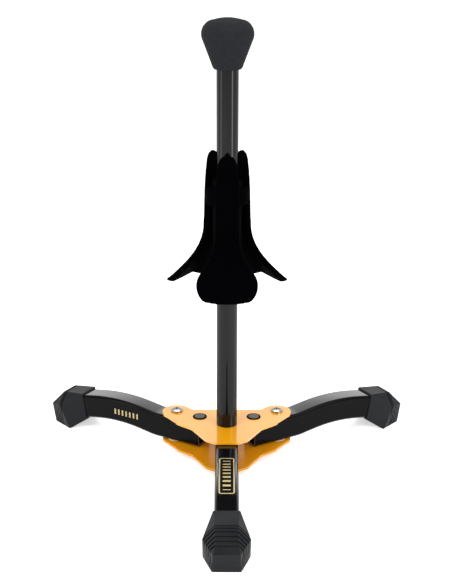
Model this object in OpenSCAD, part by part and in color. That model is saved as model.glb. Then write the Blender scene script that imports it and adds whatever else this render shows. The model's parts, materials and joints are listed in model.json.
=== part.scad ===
// Folding stand for a trumpet: a tube on a three-legged base, with a flocked cradle and a foam knob
// that hold the bell. Each side leg swivels forward between the plates, 100 degrees, to fold flat.
// Millimetres, +Z up, origin on the floor under the middle of the tube, front leg towards -Y.

/* [Tube] */
// Outer diameter of the upright tube
shaft_d = 12; // [11:0.5:13]
// Wall of the upright tube
shaft_wall = 1.2; // [0.8:0.1:1.6]
// Height of the tube's top end above the floor
shaft_top_z = 246; // [200:1:300]
// Length of the threaded insert in the tube's foot
insert_len = 22; // [15:1:40]
// Thread diameter of the bolt that holds the tube
shaft_bolt_d = 6; // [5:1:6]

/* [Plates] */
// Thickness of the two base plates
plate_t = 1.5; // [1:0.1:2]
// Height of the lower plate's underside above the floor
plate_z = 5; // [4.5:0.5:9]
// Clear gap between the two plates
plate_gap = 15.7; // [15.3:0.1:18]
// Radius of a plate's lobe around a swivel screw
lobe_r = 8.6; // [8:0.1:10]
// Distance of the plate's front edge from the tube's axis
nose_r = 25; // [24:0.1:28]
// Distance of the plate's straight back edge from the tube's axis
back_y = 19.5; // [17:0.5:21]

/* [Swivels] */
// Distance of a swivel screw from the tube's axis
pivot_r = 34.7; // [33:0.1:38]
// Diameter of a swivel screw's shank
pivot_screw_d = 4; // [3:0.5:4]
// Outer diameter of the steel bush that a side leg turns on
bush_d = 6.5; // [6:0.1:8]
// Distance of a lock button from the tube's axis
lock_r = 18.5; // [18:0.1:20]
// Diameter of a lock button
button_d = 6.4; // [5:0.1:7]
// Travel of a lock button
button_travel = 1.2; // [0.8:0.1:1.5]

/* [Legs] */
// Width of a leg tube
leg_w = 13; // [12:0.1:14]
// Height of a leg tube
leg_h = 14.9; // [12:0.1:15.1]
// Wall of a leg tube
leg_wall = 1.2; // [0.8:0.1:1.5]
// Radius of a leg tube's long edges
leg_edge_r = 1.8; // [1.5:0.1:3]
// Distance of a side leg's inner end from the tube's axis
leg_inner_r = 15.8; // [13:0.1:16]
// Distance of the front leg's inner end from the tube's axis
front_inner_r = 8; // [7:0.5:10]
// Length of a leg's level stretch beyond its swivel
leg_level_len = 10.5; // [10:0.5:13]
// Length of a leg's straight rise
ramp_len = 8; // [6:1:12]
// Radius of a leg's arch
arch_r = 105; // [90:1:115]

/* [Feet] */
// Wall of a rubber foot around the leg
foot_wall = 1.1; // [0.8:0.1:1.5]
// Distance of a foot's widest corners from the tube's axis, at the floor
foot_mid_r = 107; // [106:0.5:109]
// Distance of a foot's outer end from the tube's axis, at the floor
foot_end_r = 121.5; // [119:0.5:135]
// Half the width of a foot at its widest corners
foot_half_w = 12.3; // [10:0.1:13]

/* [Cradle] */
// Height of the petals' lower edge
petal_z = 110.6; // [60:0.5:115]
// Radius of a petal's outward sweep
petal_sweep_r = 44; // [35:1:50]
// Angle that a petal sweeps outwards
petal_sweep_deg = 60; // [45:0.5:62]
// Distance of a petal's straight face from the tube's axis
petal_face_r = 11.1; // [10.8:0.1:12]
// Half the width of a petal near its lower edge
petal_half_w = 16.2; // [13:0.1:17]
// Thickness of a petal
petal_t = 2.2; // [1.5:0.1:2.5]
// Height of a tongue's tip above the petals' lower edge
tongue_rise = 75; // [74:1:84]

/* [Knob] */
// Largest diameter of the foam knob
knob_d = 28.3; // [24:0.1:32]
// Height of the knob above its lower face
knob_h = 27; // [24:0.2:30]
// Diameter of the knob's lower face
knob_base_d = 16; // [15:0.5:18]

/* [Clearances] */
// Radial clearance of a running fit
run_fit = 0.04; // [0.02:0.01:0.08]
// Radial clearance of a pushed or glued fit
seat_fit = 0.05; // [0.02:0.01:0.1]
// Radial clearance of a screw in its hole
screw_fit = 0.2; // [0.1:0.05:0.3]
// Gap between a side leg and each washer
leg_play = 0.15; // [0.1:0.05:0.3]
// Gap around a lock bush in a leg's notch
notch_play = 0.35; // [0.3:0.05:0.5]

/* [Hidden] */
$fn = 48;
amber = "orange";

front_az = 270;
left_az = 150;
plate_top_z = plate_z + 2 * plate_t + plate_gap;
gap_low_z = plate_z + plate_t;
gap_high_z = gap_low_z + plate_gap;
leg_axis_z = gap_low_z + plate_gap / 2;
pack_t = (plate_gap - leg_h) / 2;
shaft_r = shaft_d / 2;
shaft_bore_r = shaft_r - shaft_wall;
leg_level_end_r = pivot_r + leg_level_len;
rise_deg = 9;
rise_r = 25;
drop_deg = 10;
tail_len = 19.5;
rim_s = 7;
ramp_x = leg_level_end_r + rise_r * sin(rise_deg);
ramp_z = leg_axis_z + rise_r * (1 - cos(rise_deg));
arch_x = ramp_x + ramp_len * cos(rise_deg);
arch_z = ramp_z + ramp_len * sin(rise_deg);
tail_x = arch_x + arch_r * (sin(rise_deg) + sin(drop_deg));
tail_z = arch_z + arch_r * (cos(drop_deg) - cos(rise_deg));
lock_bush_wall = 0.6;
lock_bush_d = button_d + 2 * run_fit + 2 * lock_bush_wall;
lock_bush_floor_z = gap_high_z - 3.4;
lock_floor_t = 0.6;
lock_rim_t = 0.5;
notch_half_w = lock_bush_d / 2 + notch_play;
lock_reach = pivot_r - lock_r;
spring_wire_d = 0.5;
spring_d = 4.2;
spring_top_z = plate_top_z - 0.6;
petal_top_z = petal_z + petal_sweep_r * sin(petal_sweep_deg);
tongue_z = petal_z + tongue_rise;
band_low_z = petal_top_z + 9.5;
band_high_z = band_low_z + 8;
hub_r = shaft_r + 2.2;
hub_low_z = petal_z + 3;
cradle_pin_d = 2.5;
cradle_pin_z = hub_low_z + 4;
front_screw_d = 4;
front_screw_x = [front_inner_r + 4, nose_r - 5];
nut_bar_h = 4;
nut_h = 0.75 * pivot_screw_d;
foot_edge_r = 0.8;
knob_z = shaft_top_z - 15.4;

// Points on a circle's arc, from angle a to angle b in n steps.
function arc(cx, cy, r, a, b, n) =
    [for (i = [0:n]) let (t = a + (b - a) * i / n) [cx + r * cos(t), cy + r * sin(t)]];

// Outline of a w by h rectangle with corners of radius r.
function round_rect(w, h, r) = concat(
    arc(w / 2 - r, h / 2 - r, r, 0, 90, 3),
    arc(r - w / 2, h / 2 - r, r, 90, 180, 3),
    arc(r - w / 2, r - h / 2, r, 180, 270, 3),
    arc(w / 2 - r, r - h / 2, r, 270, 360, 3)
);

module at_pivot(side) translate([side * pivot_r * cos(30), pivot_r * sin(30), 0]) children();

module at_lock(side) translate([side * lock_r * cos(30), lock_r * sin(30), 0]) children();

// A leg is made along +X and turned to its place. The right one is the left one's mirror image.
module to_left() rotate(left_az) children();

module to_right() mirror([1, 0, 0]) to_left() children();

module tube(d, bore, h) difference() {
    cylinder(d = d, h = h);
    translate([0, 0, -1]) cylinder(d = bore, h = h + 2);
}

// ---- base plates ----

module plate_outline() {
    waist = [[7, -nose_r], [12, -nose_r + 3.4], [20.4, -6.3], [27.6, -0.5]];
    lobe_side = [pivot_r * cos(30) + lobe_r * cos(25), pivot_r * sin(30) - lobe_r * sin(25)];
    half = concat(waist, [lobe_side, [pivot_r * cos(30), pivot_r * sin(30)]]);
    mirrored = [for (i = [len(half) - 1:-1:0]) [-half[i][0], half[i][1]]];
    offset(r = -5) offset(r = 9) offset(r = -4) union() {
        polygon(concat(half, mirrored));
        for (side = [-1, 1]) at_pivot(side) circle(lobe_r);
        translate([-pivot_r * cos(30), 0]) square([2 * pivot_r * cos(30), back_y]);
    }
}

module plate_blank(z) translate([0, 0, z]) linear_extrude(plate_t) plate_outline();

module plate_drilling(z) translate([0, 0, z - 1]) {
    for (side = [-1, 1]) at_pivot(side) cylinder(d = pivot_screw_d + 2 * screw_fit, h = plate_t + 2);
    cylinder(d = shaft_bolt_d + 2 * screw_fit, h = plate_t + 2);
}

module top_plate() color(amber) difference() {
    plate_blank(gap_high_z);
    plate_drilling(gap_high_z);
    for (side = [-1, 1]) at_lock(side) translate([0, 0, gap_high_z - 1])
        cylinder(d = lock_bush_d + 2 * seat_fit, h = plate_t + 2);
}

module bottom_plate() color(amber) difference() {
    plate_blank(plate_z);
    plate_drilling(plate_z);
    for (x = front_screw_x) translate([0, -x, plate_z - 1])
        cylinder(d = front_screw_d + 2 * screw_fit, h = plate_t + 2);
}

module centre_spacer() color("silver") translate([0, 0, gap_low_z])
    tube(shaft_bolt_d + 5, shaft_bolt_d + 2 * screw_fit, plate_gap);

// ---- upright tube ----

module shaft() color("black") difference() {
    translate([0, 0, plate_top_z]) cylinder(r = shaft_r, h = shaft_top_z - plate_top_z);
    translate([0, 0, plate_top_z - 1]) cylinder(r = shaft_bore_r, h = shaft_top_z - plate_top_z + 2);
    cradle_pin_hole();
}

module shaft_insert() color("silver") translate([0, 0, plate_top_z])
    tube(2 * (shaft_bore_r - seat_fit), shaft_bolt_d + 2 * seat_fit, insert_len);

module shaft_bolt() color("silver") {
    head_h = 3;
    washer_t = 1;
    low_z = plate_z - washer_t;
    difference() {
        translate([0, 0, low_z - head_h]) cylinder(d = shaft_bolt_d * 1.7, h = head_h);
        translate([0, 0, low_z - head_h - 1]) cylinder(d = shaft_bolt_d * 0.75, h = head_h, $fn = 6);
    }
    translate([0, 0, low_z]) cylinder(d = shaft_bolt_d * 2, h = washer_t);
    translate([0, 0, low_z]) cylinder(d = shaft_bolt_d, h = plate_top_z - low_z + insert_len - 6);
}

// ---- legs ----

// Stations [x, z, pitch] along the middle of a leg, from radius inner_r and further by extra.
function leg_path(inner_r, extra) = concat(
    [[inner_r - extra, leg_axis_z, 0]],
    [for (i = [0:3]) let (a = rise_deg * i / 3)
        [leg_level_end_r + rise_r * sin(a), leg_axis_z + rise_r * (1 - cos(a)), a]],
    [for (i = [0:8]) let (a = rise_deg - (rise_deg + drop_deg) * i / 8)
        [arch_x + arch_r * (sin(rise_deg) - sin(a)), arch_z + arch_r * (cos(a) - cos(rise_deg)), a]],
    [tail_point(tail_len + extra)]
);

// The station at distance s along a leg's straight tail.
function tail_point(s) = [tail_x + s * cos(drop_deg), tail_z - s * sin(drop_deg), -drop_deg];

// The leg's section, smaller by shrink, swept through the stations.
module leg_sweep(path, shrink) {
    section = round_rect(leg_w - 2 * shrink, leg_h - 2 * shrink, leg_edge_r - shrink);
    n = len(section);
    last = (len(path) - 1) * n;
    points = [for (s = path, p = section) [s[0] - p[1] * sin(s[2]), p[0], s[1] + p[1] * cos(s[2])]];
    sides = [for (i = [0:len(path) - 2], k = [0:n - 1], half = [0, 1])
        let (a = i * n + k, b = i * n + (k + 1) % n) half == 0 ? [a, a + n, b] : [b, a + n, b + n]];
    ends = [for (k = [1:n - 2], end = [0, 1]) end == 0 ? [0, k, k + 1] : [last, last + k + 1, last + k]];
    polyhedron(points, concat(sides, ends), convexity = 6);
}

module leg_tube(inner_r) difference() {
    leg_sweep(leg_path(inner_r, 0), 0);
    leg_sweep(leg_path(inner_r, 1), leg_wall);
}

// Room for the lock bush, from its seat out through the leg's near wall as the leg turns.
module lock_notch() translate([0, 0, lock_bush_floor_z - notch_play]) {
    depth = plate_gap;
    translate([lock_r, 0, 0]) cylinder(r = notch_half_w, h = depth);
    translate([pivot_r, 0, 0]) rotate(90) intersection() {
        difference() {
            cylinder(r = lock_reach + notch_half_w, h = depth);
            translate([0, 0, -1]) cylinder(r = lock_reach - notch_half_w, h = depth + 2);
        }
        cube([2 * lock_reach, 2 * lock_reach, depth]);
    }
}

module side_leg() difference() {
    leg_tube(leg_inner_r);
    translate([pivot_r, 0, 0]) cylinder(d = bush_d + 2 * run_fit, h = 2 * leg_axis_z);
    lock_notch();
}

module left_leg() color("dimgray") to_left() side_leg();

module right_leg() color("dimgray") to_right() side_leg();

module front_leg() color("dimgray") rotate(front_az) difference() {
    leg_tube(front_inner_r);
    for (x = front_screw_x) translate([x, 0, gap_low_z])
        cylinder(d = front_screw_d + 2 * screw_fit, h = pack_t + leg_wall + 1);
}

module front_leg_shims() color("white") rotate(front_az)
    for (z = [gap_low_z, gap_high_z - pack_t]) translate([0, 0, z]) difference() {
        translate([front_inner_r + 1, 1 - leg_w / 2, 0])
            cube([nose_r - front_inner_r - 2, leg_w - 2, pack_t]);
        for (x = front_screw_x) translate([x, 0, -1]) cylinder(d = front_screw_d + 2 * screw_fit, h = pack_t + 2);
    }

module front_leg_nut_bar() color("silver") rotate(front_az)
    translate([0, 0, gap_low_z + pack_t + leg_wall]) difference() {
        translate([front_inner_r + 1, 1 + leg_wall - leg_w / 2, 0])
            cube([nose_r - front_inner_r - 2, leg_w - 2 * leg_wall - 2, nut_bar_h]);
        for (x = front_screw_x) translate([x, 0, -1])
            cylinder(d = front_screw_d + 2 * seat_fit, h = nut_bar_h + 2);
    }

module front_leg_screws() color("silver") rotate(front_az) for (x = front_screw_x)
    translate([x, 0, plate_z]) mirror([0, 0, 1]) pan_screw(front_screw_d, plate_t + pack_t + leg_wall + nut_bar_h);

// A cross-recess pan-head screw: its head above z = 0, its shank of the given length below.
module pan_screw(d, shank) {
    head_r = 0.9 * d;
    head_h = 0.5 * d;
    difference() {
        intersection() {
            cylinder(r = head_r, h = head_h);
            translate([0, 0, head_h - 2 * head_r]) sphere(r = 2 * head_r);
        }
        for (turn = [0, 90]) rotate(turn) translate([-0.5 * d, -0.08 * d, 0.5 * head_h])
            cube([d, 0.16 * d, head_h]);
    }
    translate([0, 0, -shank]) cylinder(d = d, h = shank + 0.25 * head_h);
}

// ---- feet ----

module foot_corner(p, half_w) for (side = [-1, 1])
    translate([p[0], side * half_w, p[1]]) sphere(r = foot_edge_r, $fn = 12);

module sole_corner(x, half_w) for (side = [-1, 1])
    translate([x, side * half_w, 0]) cylinder(r = foot_edge_r, h = foot_edge_r, $fn = 12);

module foot() difference() {
    rim_h = leg_h / 2 + foot_wall - foot_edge_r;
    rim_w = leg_w / 2 + foot_wall - foot_edge_r;
    crown_z = foot_end_r - foot_mid_r + 6.5;
    rim = tail_point(rim_s + foot_edge_r);
    hull() {
        foot_corner([rim[0] + rim_h * sin(drop_deg), rim[1] + rim_h * cos(drop_deg)], rim_w - 0.4);
        foot_corner([rim[0] - rim_h * sin(drop_deg), rim[1] - rim_h * cos(drop_deg)], rim_w);
        foot_corner([foot_end_r - 6.8, crown_z - foot_edge_r], leg_w / 2 - 1);
        foot_corner([foot_mid_r + 7, 14], foot_half_w - foot_edge_r);
        foot_corner([foot_end_r + 1.7, 11.2], leg_w / 2);
        sole_corner(foot_mid_r, foot_half_w - foot_edge_r);
        sole_corner(foot_end_r - foot_edge_r, leg_w / 2 + 0.3);
    }
    leg_sweep([tail_point(-5), tail_point(tail_len + seat_fit)], -seat_fit);
}

module front_foot() color("darkslategray") rotate(front_az) foot();

module left_foot() color("darkslategray") to_left() foot();

module right_foot() color("darkslategray") to_right() foot();

// ---- swivels ----

module pivot_screw(side) color("silver") at_pivot(side) translate([0, 0, plate_top_z])
    pan_screw(pivot_screw_d, plate_top_z - plate_z + nut_h);

module left_pivot_screw() pivot_screw(-1);

module right_pivot_screw() pivot_screw(1);

module pivot_nut(side) color("silver") at_pivot(side) translate([0, 0, plate_z - nut_h]) difference() {
    cylinder(d = 2 * pivot_screw_d, h = nut_h, $fn = 6);
    translate([0, 0, -1]) cylinder(d = pivot_screw_d + 2 * seat_fit, h = nut_h + 2);
}

module left_pivot_nut() pivot_nut(-1);

module right_pivot_nut() pivot_nut(1);

module pivot_bush(side) color("silver") at_pivot(side) translate([0, 0, gap_low_z])
    tube(bush_d, pivot_screw_d + 2 * screw_fit, plate_gap);

module left_pivot_bush() pivot_bush(-1);

module right_pivot_bush() pivot_bush(1);

module pivot_washers(side) color("white") at_pivot(side)
    for (z = [gap_low_z, gap_high_z - pack_t + leg_play]) translate([0, 0, z])
        tube(bush_d + 5, bush_d + 2 * seat_fit, pack_t - leg_play);

module left_pivot_washers() pivot_washers(-1);

module right_pivot_washers() pivot_washers(1);

// ---- lock buttons ----

// A cup in the top plate. Its lower end stands in the leg's notch and stops the opening leg.
module lock_bush(side) color("black") at_lock(side) difference() {
    union() {
        translate([0, 0, plate_top_z]) cylinder(d = lock_bush_d + 0.6, h = lock_rim_t);
        translate([0, 0, lock_bush_floor_z]) cylinder(d = lock_bush_d, h = plate_top_z - lock_bush_floor_z);
    }
    translate([0, 0, lock_bush_floor_z + lock_floor_t]) cylinder(d = button_d + 2 * run_fit, h = plate_gap);
}

module left_lock_bush() lock_bush(-1);

module right_lock_bush() lock_bush(1);

module lock_button(side) color("gray") at_lock(side) difference() {
    low_z = lock_bush_floor_z + lock_floor_t + button_travel + 0.3;
    high_z = plate_top_z + lock_rim_t + 0.2;
    translate([0, 0, low_z]) cylinder(d = button_d, h = high_z - low_z);
    translate([0, 0, low_z - 1]) cylinder(d = spring_d + 0.5, h = spring_top_z - low_z + 1);
}

module left_lock_button() lock_button(-1);

module right_lock_button() lock_button(1);

// Rings of points along a helix, joined into one closed coil.
module coil(r, wire_r, z0, z1, turns, per_turn = 12, sides = 6) {
    n = turns * per_turn;
    points = [for (i = [0:n]) let (a = 360 * i / per_turn, z = z0 + (z1 - z0) * i / n)
        for (k = [0:sides - 1]) let (b = 360 * k / sides, q = r + wire_r * cos(b))
            [q * cos(a), q * sin(a), z + wire_r * sin(b)]];
    side_faces = [for (i = [0:n - 1], k = [0:sides - 1]) let (m = (k + 1) % sides)
        [i * sides + k, (i + 1) * sides + k, (i + 1) * sides + m, i * sides + m]];
    ends = [[for (k = [0:sides - 1]) k], [for (k = [sides - 1:-1:0]) n * sides + k]];
    polyhedron(points, concat(side_faces, ends), convexity = 10);
}

module lock_spring(side) color("silver") at_lock(side) {
    wire_r = spring_wire_d / 2;
    low_z = lock_bush_floor_z + lock_floor_t;
    coil(spring_d / 2 - wire_r, wire_r, low_z + wire_r, spring_top_z - wire_r, 4);
}

module left_lock_spring() lock_spring(-1);

module right_lock_spring() lock_spring(1);

// ---- cradle ----

// A petal from the side: a straight face above and an arc sweeping outwards below.
module petal_profile() {
    centre_r = petal_face_r + petal_sweep_r;
    outer = arc(centre_r, petal_top_z, petal_sweep_r, 180 + petal_sweep_deg, 180, 14);
    inner = arc(centre_r, petal_top_z, petal_sweep_r + petal_t, 180, 180 + petal_sweep_deg, 14);
    tip = [[petal_face_r - 1.2, tongue_z], [petal_face_r - petal_t, tongue_z]];
    polygon(concat(outer, tip, inner));
}

// A petal from the front: a tongue with a round tip above and a flaring paddle below.
module petal_outline() {
    waist_w = 6;
    corner_r = 6.5;
    shoulder_deg = 40;
    shoulder_w = petal_half_w - corner_r * (1 - cos(shoulder_deg));
    shoulder_z = petal_z + corner_r * (1 + sin(shoulder_deg));
    neck_z = petal_top_z - 9;
    half = concat(
        arc(0, petal_z - 0.6 + 60, 60, 270, 279, 2),
        arc(petal_half_w - corner_r, petal_z + corner_r, corner_r, -75, shoulder_deg, 7),
        [for (i = [1:7]) let (t = i / 8)
            [waist_w + (shoulder_w - waist_w) * pow(1 - t, 1.8), shoulder_z + t * (neck_z - shoulder_z)]],
        [[waist_w, neck_z], [waist_w, band_high_z], [waist_w - 0.8, tongue_z - 9]],
        [for (i = [0:6]) let (t = i / 6) [4.6 * sqrt(1 - t * t), tongue_z - 6 + 6 * t]]
    );
    polygon(concat(half, [for (i = [len(half) - 2:-1:1]) [-half[i][0], half[i][1]]]));
}

module petal() intersection() {
    rotate([90, 0, 0]) translate([0, 0, -20]) linear_extrude(40) petal_profile();
    rotate([90, 0, 90]) linear_extrude(60) petal_outline();
}

module bell_cradle() color("black") difference() {
    band_r = petal_face_r + 0.2;
    union() {
        for (az = [30, left_az, front_az]) rotate(az) petal();
        translate([0, 0, band_low_z]) cylinder(r = band_r, h = band_high_z - band_low_z);
    }
    translate([0, 0, petal_z - 5]) cylinder(r = hub_r + seat_fit, h = tongue_rise + 10);
}

module cradle_hub() color("dimgray") difference() {
    centre_r = petal_face_r + petal_sweep_r;
    back_r = petal_sweep_r + petal_t + 0.1;
    union() {
        translate([0, 0, hub_low_z]) cylinder(r = hub_r, h = band_high_z + 4 - hub_low_z);
        for (az = [30, left_az, front_az]) rotate(az) rotate([90, 0, 0]) translate([0, 0, -1.2])
            linear_extrude(2.4) polygon(concat(
                [[hub_r - 1, petal_top_z], [hub_r - 1, hub_low_z]],
                arc(centre_r, petal_top_z, back_r, 180 + 0.8 * petal_sweep_deg, 180, 10)
            ));
    }
    translate([0, 0, petal_z - 5]) cylinder(r = shaft_r + seat_fit, h = tongue_rise + 10);
    cradle_pin_hole();
}

module cradle_pin_hole() translate([0, -20, cradle_pin_z]) rotate([-90, 0, 0])
    cylinder(d = cradle_pin_d + 2 * seat_fit, h = 40);

module cradle_pin() color("silver") translate([0, 1 - hub_r, cradle_pin_z]) rotate([-90, 0, 0])
    cylinder(d = cradle_pin_d, h = 2 * hub_r - 2);

// ---- knob ----

module shaft_cap() color("dimgray") {
    translate([0, 0, shaft_top_z]) cylinder(r = shaft_r - 0.2, h = 1.2);
    translate([0, 0, shaft_top_z - 8]) cylinder(r = shaft_bore_r - seat_fit, h = 8);
}

module foam_knob() color("darkslategray") difference() {
    side_r = 7.6;
    mid_z = knob_z + 0.685 * knob_h;
    top_z = knob_z + knob_h;
    dome_r = 26;
    rotate_extrude($fn = 64) polygon(concat(
        [[0, knob_z], [knob_base_d / 2 - 0.8, knob_z], [knob_base_d / 2, knob_z + 0.9]],
        arc(knob_d / 2 - side_r, mid_z, side_r, -24, 66, 10),
        arc(0, top_z - dome_r, dome_r, 70, 90, 5)
    ));
    translate([0, 0, knob_z - 1]) cylinder(r = shaft_r + seat_fit, h = shaft_top_z - knob_z + 2.3);
}

top_plate();
bottom_plate();
centre_spacer();
shaft();
shaft_insert();
shaft_bolt();
front_leg();
front_foot();
front_leg_shims();
front_leg_nut_bar();
front_leg_screws();
left_leg();
left_foot();
left_pivot_screw();
left_pivot_nut();
left_pivot_bush();
left_pivot_washers();
left_lock_bush();
left_lock_button();
left_lock_spring();
right_leg();
right_foot();
right_pivot_screw();
right_pivot_nut();
right_pivot_bush();
right_pivot_washers();
right_lock_bush();
right_lock_button();
right_lock_spring();
cradle_hub();
bell_cradle();
cradle_pin();
shaft_cap();
foam_knob();
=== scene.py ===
"""Trumpet stand: an amber two-plate base, three black legs, rubber feet, a flocked cradle and a foam knob."""

import json
import logging
import math
from dataclasses import dataclass
from enum import Enum
from typing import Any, Callable

import bpy
from mathutils import Euler, Matrix, Vector

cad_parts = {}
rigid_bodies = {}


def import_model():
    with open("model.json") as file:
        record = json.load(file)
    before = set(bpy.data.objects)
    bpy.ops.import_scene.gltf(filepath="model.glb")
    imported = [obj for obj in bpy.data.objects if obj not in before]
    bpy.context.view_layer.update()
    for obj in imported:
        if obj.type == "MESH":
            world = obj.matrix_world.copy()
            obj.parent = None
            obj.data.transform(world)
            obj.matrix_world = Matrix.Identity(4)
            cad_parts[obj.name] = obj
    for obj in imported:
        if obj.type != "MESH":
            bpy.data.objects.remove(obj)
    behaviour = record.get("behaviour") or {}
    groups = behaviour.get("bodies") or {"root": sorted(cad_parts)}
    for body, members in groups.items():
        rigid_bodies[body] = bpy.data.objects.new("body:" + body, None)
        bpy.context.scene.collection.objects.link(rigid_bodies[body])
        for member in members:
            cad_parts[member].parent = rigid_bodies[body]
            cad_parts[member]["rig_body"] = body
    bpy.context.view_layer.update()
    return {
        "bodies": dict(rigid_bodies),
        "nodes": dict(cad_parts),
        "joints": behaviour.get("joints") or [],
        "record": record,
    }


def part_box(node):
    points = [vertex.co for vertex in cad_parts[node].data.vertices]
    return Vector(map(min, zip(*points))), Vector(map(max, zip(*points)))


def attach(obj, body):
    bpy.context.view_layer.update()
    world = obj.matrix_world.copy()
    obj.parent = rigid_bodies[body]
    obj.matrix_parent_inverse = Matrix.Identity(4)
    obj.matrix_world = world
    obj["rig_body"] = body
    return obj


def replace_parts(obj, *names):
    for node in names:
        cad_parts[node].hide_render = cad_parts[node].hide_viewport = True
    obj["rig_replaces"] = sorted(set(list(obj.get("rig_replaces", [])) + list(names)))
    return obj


log = logging.getLogger("trumpet_stand")
Face = Callable[[bpy.types.MeshPolygon], bool]

MM = 0.001
MERGE_M = 2e-6  # points of a frame mesh this close become one
SHADE_DEG = 40  # faces that meet within this angle are shaded smooth
NORMAL_WEIGHT = 80
MARK_CORNER_M = 0.0012  # radius of a printed frame's corners
BAR_SHARE = 0.42  # a bar's part of the pitch
BARS_LENGTH_SHARE = 0.86  # the bars' part of a mark's half length
BARS_WIDTH_SHARE = 0.55  # the bars' part of a mark's half width
MARK_LINE_MM = 0.7
MARK_FACING = 0.9  # a mark shows on faces that turn this much its way
COAT_ROUGHNESS = 0.04
MOTTLE_SPAN = (0.3, 0.7)  # the mottle values that get the two roughnesses
GRAZING_SPAN = (0.40, 0.62)  # the facing values between which a grazing coat fades in


class Side(Enum):
    """A side of the stand, with its word and the direction of its leg."""

    LEFT = ("left", 150.0)
    RIGHT = ("right", 30.0)

    @property
    def word(self) -> str:
        """The side's word in the frame's node names."""
        return self.value[0]

    @property
    def azimuth(self) -> float:
        """The direction of this side's leg, in degrees from +X."""
        return self.value[1]


class Mark(Enum):
    """A printed mark on a leg."""

    FRAME_ON_TOP = 1
    BARS_ON_SIDE = 2


# ---- modelling by operators ----


def only(piece: bpy.types.Object) -> None:
    """Select one piece and make it active.

    Args:
        piece: The object to work on.
    """
    if bpy.context.object and bpy.context.object.mode != "OBJECT":
        bpy.ops.object.mode_set(mode="OBJECT")
    bpy.ops.object.select_all(action="DESELECT")
    piece.hide_set(False)
    piece.select_set(True)
    bpy.context.view_layer.objects.active = piece


def pick_faces(piece: bpy.types.Object, test: Face) -> int:
    """Select the faces that pass a test and enter edit mode in face select.

    Args:
        piece: The mesh object.
        test: Takes a face and says whether it is wanted.

    Returns:
        The number of faces picked.
    """
    only(piece)
    bpy.ops.object.mode_set(mode="EDIT")
    bpy.ops.mesh.select_mode(type="FACE")
    bpy.ops.mesh.select_all(action="DESELECT")
    bpy.ops.object.mode_set(mode="OBJECT")
    count = 0
    for face in piece.data.polygons:
        face.select = test(face)
        count += face.select
    bpy.ops.object.mode_set(mode="EDIT")
    return count


def add_modifier(piece: bpy.types.Object, kind: str, **settings: Any) -> None:
    """Add a modifier, set it and apply it.

    Args:
        piece: The mesh object.
        kind: The modifier's type, such as BEVEL.
        settings: Its settings by name.
    """
    only(piece)
    modifier = piece.modifiers.new(kind.title(), kind)
    for key, value in settings.items():
        setattr(modifier, key, value)
    bpy.ops.object.modifier_apply(modifier=modifier.name)


def shade_smoothly(piece: bpy.types.Object) -> None:
    """Shade a piece smooth between its sharp edges.

    Args:
        piece: The mesh object.
    """
    only(piece)
    bpy.ops.object.shade_smooth_by_angle(angle=math.radians(SHADE_DEG))
    add_modifier(piece, "WEIGHTED_NORMAL", keep_sharp=True, weight=NORMAL_WEIGHT)


def soften_edges(piece: bpy.types.Object, width_mm: float, sharp_deg: float = 32, segments: int = 2) -> None:
    """Round a piece's sharp edges and shade it smooth between them.

    Args:
        piece: The mesh object.
        width_mm: How far the rounding reaches from an edge.
        sharp_deg: The least angle between faces that counts as an edge.
        segments: Faces across the rounding.
    """
    add_modifier(piece, "BEVEL", width=width_mm * MM, segments=segments, limit_method="ANGLE",
                 angle_limit=math.radians(sharp_deg), miter_outer="MITER_ARC")
    shade_smoothly(piece)


def copied(frame: dict[str, Any], node: str, name: str, flat_deg: float = 0.3) -> bpy.types.Object:
    """Copy a frame node's mesh into a new piece, with its loose triangles merged.

    Args:
        node: The frame node that the piece stands for.
        name: The new piece's name.
        flat_deg: Faces that meet within this angle become one.

    Returns:
        The new piece, riding on the node's body.
    """
    source = frame["nodes"][node]
    piece = bpy.data.objects.new(name, source.data.copy())
    bpy.context.scene.collection.objects.link(piece)
    only(piece)
    bpy.ops.object.mode_set(mode="EDIT")
    bpy.ops.mesh.select_all(action="SELECT")
    bpy.ops.mesh.remove_doubles(threshold=MERGE_M)
    if flat_deg > 0:
        bpy.ops.mesh.dissolve_limited(angle_limit=math.radians(flat_deg))
    bpy.ops.object.mode_set(mode="OBJECT")
    piece.data.materials.clear()
    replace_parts(piece, node)
    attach(piece, source["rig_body"])
    return piece


def slot_of(frame: dict[str, Any], node: str) -> str:
    """Give the material slot that the record names for a node."""
    return next(s["material_slot"] for s in frame["record"]["subparts"] if s["node"] == node)


def dress(piece: bpy.types.Object, material: bpy.types.Material) -> None:
    """Give a piece one material all over."""
    piece.data.materials.clear()
    piece.data.materials.append(material)
    for face in piece.data.polygons:
        face.material_index = 0


# ---- shared shader groups ----


def new_group(name: str, inputs: dict[str, float], outputs: dict[str, str]) -> bpy.types.NodeTree:
    """Make an empty shader group with a Vector input, number inputs and the given outputs.

    Args:
        name: The group's name.
        inputs: Number inputs and their defaults.
        outputs: Output names and their socket types.

    Returns:
        The group's node tree, with nodes named In and Out.
    """
    tree = bpy.data.node_groups.new(name, "ShaderNodeTree")
    tree.interface.new_socket("Vector", in_out="INPUT", socket_type="NodeSocketVector")
    for key, default in inputs.items():
        socket = tree.interface.new_socket(key, in_out="INPUT", socket_type="NodeSocketFloat")
        socket.default_value = default
    for key, kind in outputs.items():
        tree.interface.new_socket(key, in_out="OUTPUT", socket_type=kind)
    tree.nodes.new("NodeGroupInput").name = "In"
    tree.nodes.new("NodeGroupOutput").name = "Out"
    return tree


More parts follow.
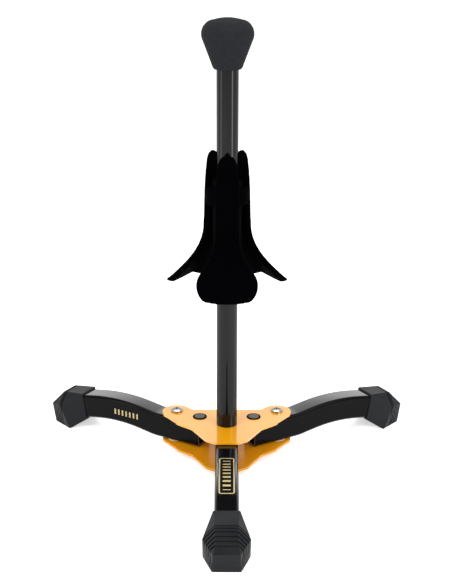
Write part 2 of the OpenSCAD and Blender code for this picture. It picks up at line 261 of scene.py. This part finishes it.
def math_node(tree: bpy.types.NodeTree, operation: str, first: Any, second: Any = None) -> Any:
    """Add a math node and give its result socket.

    Args:
        tree: The node tree.
        operation: The math operation.
        first: A socket or a number.
        second: A socket or a number, or nothing.

    Returns:
        The node's output socket.
    """
    node = tree.nodes.new("ShaderNodeMath")
    node.operation = operation
    for index, value in enumerate((first, second)):
        if isinstance(value, bpy.types.NodeSocket):
            tree.links.new(value, node.inputs[index])
        elif value is not None:
            node.inputs[index].default_value = value
    return node.outputs[0]


def grain_group() -> bpy.types.NodeTree:
    """Build the grain group: a broad Mottle mask and a fine Height, both from noise."""
    tree = new_group("grain", {"Broad": 60.0, "Fine": 900.0},
                     {"Mottle": "NodeSocketFloat", "Height": "NodeSocketFloat"})
    source, out = tree.nodes["In"], tree.nodes["Out"]
    for key, target, detail in (("Broad", "Mottle", 4.0), ("Fine", "Height", 3.0)):
        noise = tree.nodes.new("ShaderNodeTexNoise")
        noise.inputs["Detail"].default_value = detail
        tree.links.new(source.outputs["Vector"], noise.inputs["Vector"])
        tree.links.new(source.outputs[key], noise.inputs["Scale"])
        tree.links.new(noise.outputs["Fac"], out.inputs[target])
    return tree


def plate_mark_group() -> bpy.types.NodeTree:
    """Build the mark group: a mask of upright bars, with a rounded frame around them where Frame is 1.

    Its Vector's X runs along the mark and Y across it, in metres from the mark's middle.
    """
    inputs = {"Half Length": 0.02, "Half Width": 0.004, "Line": 0.0004, "Pitch": 0.003, "Frame": 1.0}
    tree = new_group("printed_mark", inputs, {"Mask": "NodeSocketFloat"})
    source, out = tree.nodes["In"], tree.nodes["Out"]
    split = tree.nodes.new("ShaderNodeSeparateXYZ")
    tree.links.new(source.outputs["Vector"], split.inputs[0])
    along = math_node(tree, "ABSOLUTE", split.outputs[0])
    across = math_node(tree, "ABSOLUTE", split.outputs[1])
    gaps = []
    for value, key in ((along, "Half Length"), (across, "Half Width")):
        inner = math_node(tree, "SUBTRACT", source.outputs[key], MARK_CORNER_M)
        gaps.append(math_node(tree, "MAXIMUM", math_node(tree, "SUBTRACT", value, inner), 0.0))
    squares = [math_node(tree, "POWER", gap, 2.0) for gap in gaps]
    reach = math_node(tree, "SQRT", math_node(tree, "ADD", *squares))
    edge = math_node(tree, "ABSOLUTE", math_node(tree, "SUBTRACT", reach, MARK_CORNER_M))
    ring = math_node(tree, "LESS_THAN", edge, math_node(tree, "MULTIPLY", source.outputs["Line"], 0.5))
    ring = math_node(tree, "MULTIPLY", ring, source.outputs["Frame"])
    wave = math_node(tree, "PINGPONG", split.outputs[0], source.outputs["Pitch"])
    bars = None
    for value, key, share in ((wave, "Pitch", BAR_SHARE), (along, "Half Length", BARS_LENGTH_SHARE),
                              (across, "Half Width", BARS_WIDTH_SHARE)):
        limit = math_node(tree, "MULTIPLY", source.outputs[key], share)
        within = math_node(tree, "LESS_THAN", value, limit)
        bars = within if bars is None else math_node(tree, "MULTIPLY", bars, within)
    tree.links.new(math_node(tree, "MAXIMUM", ring, bars), out.inputs["Mask"])
    return tree


# ---- finishes ----


@dataclass(frozen=True)
class Finish:
    """A surface finish: two tones mottled together, its gloss, and a fine grain that bumps it."""

    name: str
    tone: tuple[float, float, float]
    tone_2: tuple[float, float, float]
    rough: tuple[float, float]
    metallic: float = 0.0
    coat: float = 0.0
    coat_ior: float = 1.5
    ior: float = 1.5
    specular: float = 0.5
    grazing_coat: bool = False
    sheen: float = 0.0
    broad: float = 60.0
    fine: float = 900.0
    bump_mm: float = 0.01
    cells: float = 0.0

    def build(self) -> bpy.types.Material:
        """Make the material.

        Returns:
            The finished material.
        """
        material = bpy.data.materials.new(self.name)
        material.use_nodes = True
        tree = material.node_tree
        shader = tree.nodes["Principled BSDF"]
        for key, value in (("Metallic", self.metallic), ("Coat Weight", self.coat),
                           ("Coat IOR", self.coat_ior), ("IOR", self.ior), ("Sheen Weight", self.sheen),
                           ("Coat Roughness", COAT_ROUGHNESS), ("Specular IOR Level", self.specular)):
            shader.inputs[key].default_value = value
        place = tree.nodes.new("ShaderNodeTexCoord")
        grain = self.add_grain(tree, place)
        mix = tree.nodes.new("ShaderNodeMix")
        mix.name = "Tone"
        mix.data_type = "RGBA"
        mix.inputs["A"].default_value = (*self.tone, 1)
        mix.inputs["B"].default_value = (*self.tone_2, 1)
        tree.links.new(grain.outputs["Mottle"], mix.inputs["Factor"])
        tree.links.new(mix.outputs["Result"], shader.inputs["Base Color"])
        gloss = tree.nodes.new("ShaderNodeMapRange")
        gloss.name = "Gloss"
        gloss.inputs["From Min"].default_value, gloss.inputs["From Max"].default_value = MOTTLE_SPAN
        gloss.inputs["To Min"].default_value, gloss.inputs["To Max"].default_value = self.rough
        tree.links.new(grain.outputs["Mottle"], gloss.inputs["Value"])
        tree.links.new(gloss.outputs["Result"], shader.inputs["Roughness"])
        bump = tree.nodes.new("ShaderNodeBump")
        bump.inputs["Distance"].default_value = self.bump_mm * MM
        height = grain.outputs["Height"]
        if self.cells > 0:
            pores = tree.nodes.new("ShaderNodeTexVoronoi")
            pores.inputs["Scale"].default_value = self.cells
            tree.links.new(place.outputs["Object"], pores.inputs["Vector"])
            height = math_node(tree, "ADD", height, pores.outputs["Distance"])
        tree.links.new(height, bump.inputs["Height"])
        tree.links.new(bump.outputs["Normal"], shader.inputs["Normal"])
        if self.grazing_coat:
            self.add_grazing_coat(tree, shader)
        return material

    def add_grazing_coat(self, tree: bpy.types.NodeTree, shader: bpy.types.Node) -> None:
        """Let the clear coat gleam only where the surface is seen at a low angle."""
        layer = tree.nodes.new("ShaderNodeLayerWeight")
        gleam = tree.nodes.new("ShaderNodeMapRange")
        gleam.inputs["From Min"].default_value, gleam.inputs["From Max"].default_value = GRAZING_SPAN
        tree.links.new(layer.outputs["Facing"], gleam.inputs["Value"])
        tree.links.new(gleam.outputs["Result"], shader.inputs["Coat Weight"])

    def add_grain(self, tree: bpy.types.NodeTree, place: bpy.types.Node) -> bpy.types.Node:
        """Place the shared grain group, fed by Object coordinates."""
        grain = tree.nodes.new("ShaderNodeGroup")
        grain.node_tree = bpy.data.node_groups["grain"]
        grain.inputs["Broad"].default_value = self.broad
        grain.inputs["Fine"].default_value = self.fine
        tree.links.new(place.outputs["Object"], grain.inputs["Vector"])
        return grain


@dataclass(frozen=True)
class PrintedLegFinish(Finish):
    """The legs' gloss black with a gold printed mark at one place."""

    mark: Mark = Mark.FRAME_ON_TOP
    gold: tuple[float, float, float] = (0.50, 0.40, 0.20)
    middle_mm: tuple[float, float, float] = (0.0, -63.0, 22.0)
    turn_deg: tuple[float, float, float] = (0.0, 0.0, 90.0)
    half_mm: tuple[float, float] = (22.0, 3.9)
    pitch_mm: float = 2.4
    face_normal: tuple[float, float, float] = (0.0, 0.0, 1.0)

    def build(self) -> bpy.types.Material:
        """Make the black material and lay the mark over its colour.

        Returns:
            The finished material.
        """
        material = super().build()
        tree = material.node_tree
        place = tree.nodes.new("ShaderNodeTexCoord")
        lay = tree.nodes.new("ShaderNodeMapping")
        turn = Euler([math.radians(a) for a in self.turn_deg]).to_matrix().inverted()
        middle = turn @ Vector(self.middle_mm) * MM
        lay.inputs["Rotation"].default_value = turn.to_euler()
        lay.inputs["Location"].default_value = -middle
        tree.links.new(place.outputs["Object"], lay.inputs["Vector"])
        mark = tree.nodes.new("ShaderNodeGroup")
        mark.node_tree = bpy.data.node_groups["printed_mark"]
        for key, value in (("Half Length", self.half_mm[0] * MM), ("Half Width", self.half_mm[1] * MM),
                           ("Line", MARK_LINE_MM * MM), ("Pitch", self.pitch_mm * MM),
                           ("Frame", 1.0 if self.mark is Mark.FRAME_ON_TOP else 0.0)):
            mark.inputs[key].default_value = value
        tree.links.new(lay.outputs[0], mark.inputs["Vector"])
        facing = tree.nodes.new("ShaderNodeVectorMath")
        facing.operation = "DOT_PRODUCT"
        facing.inputs[1].default_value = self.face_normal
        tree.links.new(place.outputs["Normal"], facing.inputs[0])
        on_face = math_node(tree, "GREATER_THAN", facing.outputs["Value"], MARK_FACING)
        mask = math_node(tree, "MULTIPLY", mark.outputs["Mask"], on_face)
        over = tree.nodes.new("ShaderNodeMix")
        over.data_type = "RGBA"
        over.inputs["B"].default_value = (*self.gold, 1)
        tree.links.new(mask, over.inputs["Factor"])
        tree.links.new(tree.nodes["Tone"].outputs["Result"], over.inputs["A"])
        tree.links.new(over.outputs["Result"], tree.nodes["Principled BSDF"].inputs["Base Color"])
        return material


class Finishes:
    """Every finish on the stand, built once."""

    def __init__(self) -> None:
        """Build the shared groups and then each material."""
        grain_group()
        plate_mark_group()
        black = dict(tone=(0.0022, 0.0022, 0.0027), tone_2=(0.0038, 0.0038, 0.0043), rough=(0.10, 0.16),
                     coat=1.0, ior=1.45, specular=0.1, grazing_coat=True, broad=35.0, fine=700.0,
                     bump_mm=0.004)
        self.amber = Finish("amber_enamel", (0.82, 0.345, 0.003), (0.86, 0.37, 0.004), (0.16, 0.22),
                            coat=1.0, coat_ior=1.8, ior=1.5, broad=25.0, fine=450.0, bump_mm=0.003).build()
        # The bottom plate's enamel is the same amber made darker and duller. It is painted shade for the
        # plate under the top plate, not a second paint.
        self.low_amber = Finish("amber_enamel_painted_shade", (0.70, 0.285, 0.004), (0.74, 0.30, 0.005),
                                (0.22, 0.30), coat=0.25, ior=1.45, specular=0.3, broad=25.0, fine=450.0,
                                bump_mm=0.003).build()
        self.tube = Finish("tube_black", (0.002, 0.002, 0.0025), (0.0032, 0.0034, 0.0048), (0.08, 0.13),
                           ior=1.36, broad=35.0, fine=600.0, bump_mm=0.002).build()
        self.leg = Finish("leg_black", **black, coat_ior=2.7).build()
        self.front_leg = PrintedLegFinish("front_leg_black", **black, coat_ior=1.7).build()
        self.left_leg = PrintedLegFinish(
            "left_leg_black", **black, coat_ior=2.7, mark=Mark.BARS_ON_SIDE,
            middle_mm=(-61.6, 28.1, 16.6), turn_deg=(90.0, 0.0, -30.0), half_mm=(11.5, 3.2),
            pitch_mm=1.35, face_normal=(-0.5, -0.866, 0.0)).build()
        self.rubber = Finish("foot_rubber", (0.004, 0.005, 0.007), (0.008, 0.009, 0.011), (0.34, 0.48),
                             specular=0.22, broad=90.0, fine=1500.0, bump_mm=0.04).build()
        self.flock = Finish("flock_velvet", (0.0002, 0.0002, 0.0005), (0.0006, 0.0006, 0.0010),
                            (0.95, 1.0), sheen=0.004, specular=0.01, broad=120.0, fine=4000.0,
                            bump_mm=0.12).build()
        self.foam = Finish("knob_foam", (0.010, 0.011, 0.013), (0.022, 0.023, 0.026), (0.9, 1.0),
                           specular=0.15, broad=500.0, fine=2200.0, bump_mm=0.25, cells=1500.0).build()
        self.chrome = Finish("screw_chrome", (0.46, 0.44, 0.40), (0.36, 0.35, 0.32), (0.14, 0.24),
                             metallic=1.0, broad=300.0, fine=2500.0, bump_mm=0.003).build()
        self.zinc = Finish("zinc_steel", (0.56, 0.57, 0.57), (0.45, 0.46, 0.45), (0.30, 0.45),
                           metallic=1.0, broad=180.0, fine=1800.0, bump_mm=0.008).build()
        self.nylon = Finish("nylon", (0.70, 0.69, 0.63), (0.78, 0.77, 0.72), (0.45, 0.6)).build()
        self.plastic = Finish("black_plastic", (0.0006, 0.0006, 0.0008), (0.0015, 0.0015, 0.0017),
                              (0.6, 0.75), specular=0.02, broad=200.0, fine=1500.0, bump_mm=0.02).build()
        self.button = Finish("button_grey", (0.05, 0.05, 0.05), (0.075, 0.073, 0.07), (0.4, 0.55),
                             broad=300.0, fine=1800.0, bump_mm=0.02).build()


# ---- sub-assemblies ----


@dataclass
class BasePlates:
    """The two amber plates with softened edges. The bottom one wears a darker, duller amber that is painted
    shade.
    """

    edge_mm: float = 0.28

    def build(self, frame: dict[str, Any], finishes: Finishes) -> None:
        """Make both plates and dress them."""
        # The bottom plate's darker, duller amber is painted shade.
        for node, material in (("top_plate", finishes.amber), ("bottom_plate", finishes.low_amber)):
            plate = copied(frame, node, f"{node}_enamelled", flat_deg=0.5)
            soften_edges(plate, self.edge_mm)
            dress(plate, material)
            log.info("plate %s: %d faces", node, len(plate.data.polygons))


@dataclass
class Upright:
    """The upright tube, made as one smooth piece with eased ends."""

    bore_wall_mm: float = 1.2
    edge_mm: float = 0.25
    sides: int = 96

    def build(self, frame: dict[str, Any], finishes: Finishes) -> None:
        """Make the tube from a cylinder whose end faces are inset and bridged into a bore."""
        low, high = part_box("shaft")
        radius = (high.x - low.x) / 2
        bpy.ops.object.select_all(action="DESELECT")
        bpy.ops.mesh.primitive_cylinder_add(vertices=self.sides, radius=radius, depth=high.z - low.z,
                                            end_fill_type="NGON", location=(0, 0, (low.z + high.z) / 2))
        tube = bpy.context.object
        tube.name = "upright_tube"
        bpy.ops.object.transform_apply(location=True, rotation=True, scale=True)
        pick_faces(tube, lambda face: abs(face.normal.z) > 0.9)
        bpy.ops.mesh.inset(thickness=self.bore_wall_mm * MM, use_individual=True)
        bpy.ops.mesh.bridge_edge_loops()
        bpy.ops.object.mode_set(mode="OBJECT")
        soften_edges(tube, self.edge_mm)
        dress(tube, finishes.tube)
        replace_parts(tube, "shaft")
        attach(tube, "base")
        log.info("upright tube: %d faces", len(tube.data.polygons))


class Legs:
    """The three black leg tubes, smooth along their arches."""

    def build(self, frame: dict[str, Any], finishes: Finishes) -> None:
        """Make each leg from its frame node and dress it."""
        for node, material in (("front_leg", finishes.front_leg), ("left_leg", finishes.left_leg),
                               ("right_leg", finishes.leg)):
            leg = copied(frame, node, f"{node}_tube")
            shade_smoothly(leg)
            dress(leg, material)
            log.info("%s: %d faces", node, len(leg.data.polygons))


@dataclass
class Feet:
    """The rubber feet, with steps around their outer ends."""

    groove_starts_mm: tuple[float, ...] = (112.6, 114.3, 116.0, 117.7, 119.4, 121.0)
    groove_mm: float = 0.8
    depth_mm: float = 0.6
    edge_mm: float = 0.12
    sharp_deg: float = 25
    bore_clear_mm: float = 7.4
    sole_clear_mm: float = 1.2

    def front(self, frame: dict[str, Any]) -> bpy.types.Object:
        """Make the front foot, whose outer end faces -Y.

        Returns:
            The foot with its stepped grooves cut.
        """
        foot = copied(frame, "front_foot", "front_foot_rubber", flat_deg=1.0)
        for start in self.groove_starts_mm:
            for place in (start, start + self.groove_mm):
                only(foot)
                bpy.ops.object.mode_set(mode="EDIT")
                bpy.ops.mesh.select_all(action="SELECT")
                bpy.ops.mesh.bisect(plane_co=(0, -place * MM, 0), plane_no=(0, 1, 0))
                bpy.ops.object.mode_set(mode="OBJECT")
        pick_faces(foot, self.in_groove)
        bpy.ops.mesh.extrude_region_shrink_fatten(TRANSFORM_OT_shrink_fatten={"value": -self.depth_mm * MM})
        bpy.ops.object.mode_set(mode="OBJECT")
        return foot

    def in_groove(self, face: bpy.types.MeshPolygon) -> bool:
        """Say whether a face lies in a groove: on the outside, above the sole and off the bore."""
        reach = -face.center.y / MM
        lane = any(a < reach < a + self.groove_mm for a in self.groove_starts_mm)
        sideways = abs(face.normal.x) > 0.3 and abs(face.center.x) > self.bore_clear_mm * MM
        outside = face.normal.z > 0.15 or sideways
        return lane and outside and face.normal.z > -0.3 and face.center.z > self.sole_clear_mm * MM

    def build(self, frame: dict[str, Any], finishes: Finishes) -> None:
        """Make the front foot, then a turned copy of it for each side."""
        front = self.front(frame)
        soften_edges(front, self.edge_mm, self.sharp_deg)
        dress(front, finishes.rubber)
        for side in Side:
            only(front)
            bpy.ops.object.duplicate()
            foot = bpy.context.object
            foot.name = f"{side.word}_foot_rubber"
            foot.rotation_euler.z = math.radians(side.azimuth - 270)
            bpy.ops.object.transform_apply(location=True, rotation=True, scale=True)
            del foot["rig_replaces"]
            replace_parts(foot, f"{side.word}_foot")
            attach(foot, f"{side.word}_leg")
        log.info("feet: %d faces each", len(front.data.polygons))


class Swivels:
    """The screws, lock rims and buttons on the top plate."""

    def build(self, frame: dict[str, Any], finishes: Finishes) -> None:
        """Make each side's screw, lock rim and button."""
        for side in Side:
            for node, edge_mm, material in (("pivot_screw", 0.18, finishes.chrome),
                                            ("lock_bush", 0.15, finishes.plastic),
                                            ("lock_button", 0.3, finishes.button)):
                name = f"{side.word}_{node}"
                piece = copied(frame, name, f"{name}_finished", flat_deg=0.5)
                soften_edges(piece, edge_mm, segments=3)
                dress(piece, material)
        log.info("swivels: screws, rims and buttons on both sides")


@dataclass
class Cradle:
    """The flocked cradle, coated with its pile, with soft rounded edges."""

    voxel_mm: float = 0.45
    smooth_rounds: int = 5
    pile_mm: float = 0.7

    def build(self, frame: dict[str, Any], finishes: Finishes) -> None:
        """Make the cradle from its frame node, rounded all over and coated with its pile."""
        cradle = copied(frame, "bell_cradle", "bell_cradle_flocked", flat_deg=0.0)
        remesh = dict(mode="VOXEL", voxel_size=self.voxel_mm * MM, adaptivity=0.0)
        add_modifier(cradle, "REMESH", **remesh)
        add_modifier(cradle, "DISPLACE", strength=self.pile_mm * MM, mid_level=0.0)
        add_modifier(cradle, "REMESH", **remesh)
        add_modifier(cradle, "SMOOTH", factor=0.5, iterations=self.smooth_rounds)
        only(cradle)
        bpy.ops.object.shade_smooth()
        dress(cradle, finishes.flock)
        log.info("cradle: %d faces", len(cradle.data.polygons))


@dataclass
class FoamKnob:
    """The foam knob, with a finely uneven skin."""

    voxel_mm: float = 0.4
    smooth_rounds: int = 3
    uneven_mm: float = 0.22
    uneven_grain_mm: float = 0.9
    uneven_mid: float = 0.8

    def build(self, frame: dict[str, Any], finishes: Finishes) -> None:
        """Make the knob from its frame node, remeshed and roughened."""
        knob = copied(frame, "foam_knob", "foam_knob_soft", flat_deg=0.0)
        add_modifier(knob, "REMESH", mode="VOXEL", voxel_size=self.voxel_mm * MM, adaptivity=0.0)
        add_modifier(knob, "SMOOTH", factor=0.5, iterations=self.smooth_rounds)
        pores = bpy.data.textures.new("foam_pores", "CLOUDS")
        pores.noise_scale = self.uneven_grain_mm * MM
        add_modifier(knob, "DISPLACE", texture=pores, strength=self.uneven_mm * MM,
                     mid_level=self.uneven_mid, texture_coords="LOCAL")
        only(knob)
        bpy.ops.object.shade_smooth()
        dress(knob, finishes.foam)
        log.info("foam knob: %d faces", len(knob.data.polygons))


class Fittings:
    """The fittings whose frame shape stays as it is."""

    def build(self, frame: dict[str, Any], finishes: Finishes) -> None:
        """Dress each fitting's frame node by its slot."""
        by_slot = {"steel": finishes.zinc, "chrome": finishes.chrome, "nylon": finishes.nylon,
                   "black_plastic": finishes.plastic}
        for node, obj in frame["nodes"].items():
            if not obj.hide_render:
                dress(obj, by_slot[slot_of(frame, node)])
                log.info("fitting %s: %s", node, obj.data.materials[0].name)


# ---- setting ----


@dataclass(frozen=True)
class Lamp:
    """A soft lamp: its name, its place and size in metres, and its power in watts."""

    name: str
    place: tuple[float, float, float]
    size: tuple[float, float]
    power: float


@dataclass
class Studio:
    """The pale floor, the soft lamps, the plain world and the camera."""

    lens_mm: float = 72.6
    place_m: tuple[float, float, float] = (-0.0006, -0.6297, 0.3223)
    tilt_deg: float = 71.0
    roll_deg: float = 0.13
    world_level: float = 0.72
    front_level: float = 0.09
    floor_level: float = 0.55
    floor_size_m: float = 6.0
    floor_z_m: float = -0.0002
    floor_tone: float = 0.82
    floor_rough: float = 0.9
    floor_mirrored: float = 0.3
    world_y_span: tuple[float, float] = (-0.5, 0.35)
    lamps_aim_m: tuple[float, float, float] = (0.0, 0.0, 0.1)
    lamps: tuple[Lamp, ...] = (
        Lamp("key_lamp", (-0.7, -0.8, 1.1), (0.7, 0.7), 11.0),
        Lamp("fill_lamp", (0.9, -0.6, 1.0), (0.9, 0.9), 7.0),
        Lamp("back_lamp", (0.0, 0.5, 1.4), (0.9, 0.6), 6.0),
        Lamp("right_strip", (0.31, -0.25, 0.17), (0.09, 0.30), 0.45),
        Lamp("left_strip", (-0.37, -0.14, 0.17), (0.07, 0.30), 0.20),
    )

    def world(self) -> None:
        """Make a world that the camera sees white. In gloss it is white behind the stand, dim before it."""
        world = bpy.data.worlds.new("studio_world")
        bpy.context.scene.world = world
        world.use_nodes = True
        tree = world.node_tree
        back = tree.nodes["Background"]
        path = tree.nodes.new("ShaderNodeLightPath")
        place = tree.nodes.new("ShaderNodeTexCoord")
        split = tree.nodes.new("ShaderNodeSeparateXYZ")
        tree.links.new(place.outputs["Generated"], split.inputs[0])
        front = tree.nodes.new("ShaderNodeMapRange")
        front.inputs["From Min"].default_value, front.inputs["From Max"].default_value = self.world_y_span
        front.inputs["To Min"].default_value = self.front_level
        front.inputs["To Max"].default_value = 1.0
        tree.links.new(split.outputs["Y"], front.inputs["Value"])
        mirrored = math_node(tree, "MULTIPLY", path.outputs["Is Glossy Ray"], front.outputs[0])
        seen = math_node(tree, "MAXIMUM", path.outputs["Is Camera Ray"], path.outputs["Is Transmission Ray"])
        seen = math_node(tree, "MAXIMUM", seen, mirrored)
        plain = math_node(tree, "SUBTRACT", 1.0, math_node(
            tree, "MAXIMUM", path.outputs["Is Camera Ray"], path.outputs["Is Glossy Ray"]))
        soft = math_node(tree, "MULTIPLY", plain, self.world_level)
        tree.links.new(math_node(tree, "MAXIMUM", seen, soft), back.inputs["Strength"])
        back.inputs["Color"].default_value = (1, 1, 1, 1)

    def floor(self) -> None:
        """Make the floor that shows white and keeps a soft shadow."""
        bpy.ops.object.select_all(action="DESELECT")
        bpy.ops.mesh.primitive_plane_add(size=self.floor_size_m, location=(0, 0, self.floor_z_m))
        floor = bpy.context.object
        floor.name = "studio_floor"
        material = bpy.data.materials.new("floor_white")
        material.use_nodes = True
        tree = material.node_tree
        shader = tree.nodes["Principled BSDF"]
        shader.inputs["Base Color"].default_value = (*[self.floor_tone] * 3, 1)
        shader.inputs["Roughness"].default_value = self.floor_rough
        shader.inputs["Specular IOR Level"].default_value = 0.0
        path = tree.nodes.new("ShaderNodeLightPath")
        mirrored = math_node(tree, "MULTIPLY", path.outputs["Is Glossy Ray"], self.floor_mirrored)
        seen = math_node(tree, "MAXIMUM", path.outputs["Is Camera Ray"], path.outputs["Is Transmission Ray"])
        seen = math_node(tree, "MAXIMUM", seen, mirrored)
        shader.inputs["Emission Color"].default_value = (1, 1, 1, 1)
        glow = math_node(tree, "MULTIPLY", seen, self.floor_level)
        tree.links.new(glow, shader.inputs["Emission Strength"])
        floor.data.materials.append(material)

    def light(self, lamp: Lamp) -> None:
        """Add a soft lamp that faces the stand's middle.

        Args:
            lamp: The lamp to add.
        """
        data = bpy.data.lights.new(lamp.name, "AREA")
        data.shape = "RECTANGLE"
        data.size, data.size_y = lamp.size
        data.energy = lamp.power
        holder = bpy.data.objects.new(lamp.name, data)
        holder.location = lamp.place
        aim = Vector(self.lamps_aim_m) - Vector(lamp.place)
        holder.rotation_euler = aim.to_track_quat("-Z", "Y").to_euler()
        bpy.context.scene.collection.objects.link(holder)

    def camera(self) -> None:
        """Set the camera up."""
        data = bpy.data.cameras.new("camera")
        data.lens = self.lens_mm
        data.sensor_width = 36
        data.clip_start = 0.01
        camera = bpy.data.objects.new("camera", data)
        camera.location = self.place_m
        turn = Matrix.Rotation(math.radians(self.tilt_deg), 4, "X") @ Matrix.Rotation(
            math.radians(self.roll_deg), 4, "Z")
        camera.rotation_euler = turn.to_euler()
        bpy.context.scene.collection.objects.link(camera)
        bpy.context.scene.camera = camera

    def build(self) -> None:
        """Build the whole setting."""
        bpy.context.scene.view_settings.view_transform = "Standard"
        self.camera()
        self.world()
        self.floor()
        for lamp in self.lamps:
            self.light(lamp)


def main() -> None:
    """Build the stand on its frame."""
    logging.basicConfig(level=logging.INFO, format="%(name)s: %(message)s")
    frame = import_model()
    Studio().build()
    finishes = Finishes()
    for assembly in (BasePlates(), Upright(), Legs(), Feet(), Swivels(), Cradle(), FoamKnob(), Fittings()):
        assembly.build(frame, finishes)


if __name__ == "__main__":
    main()
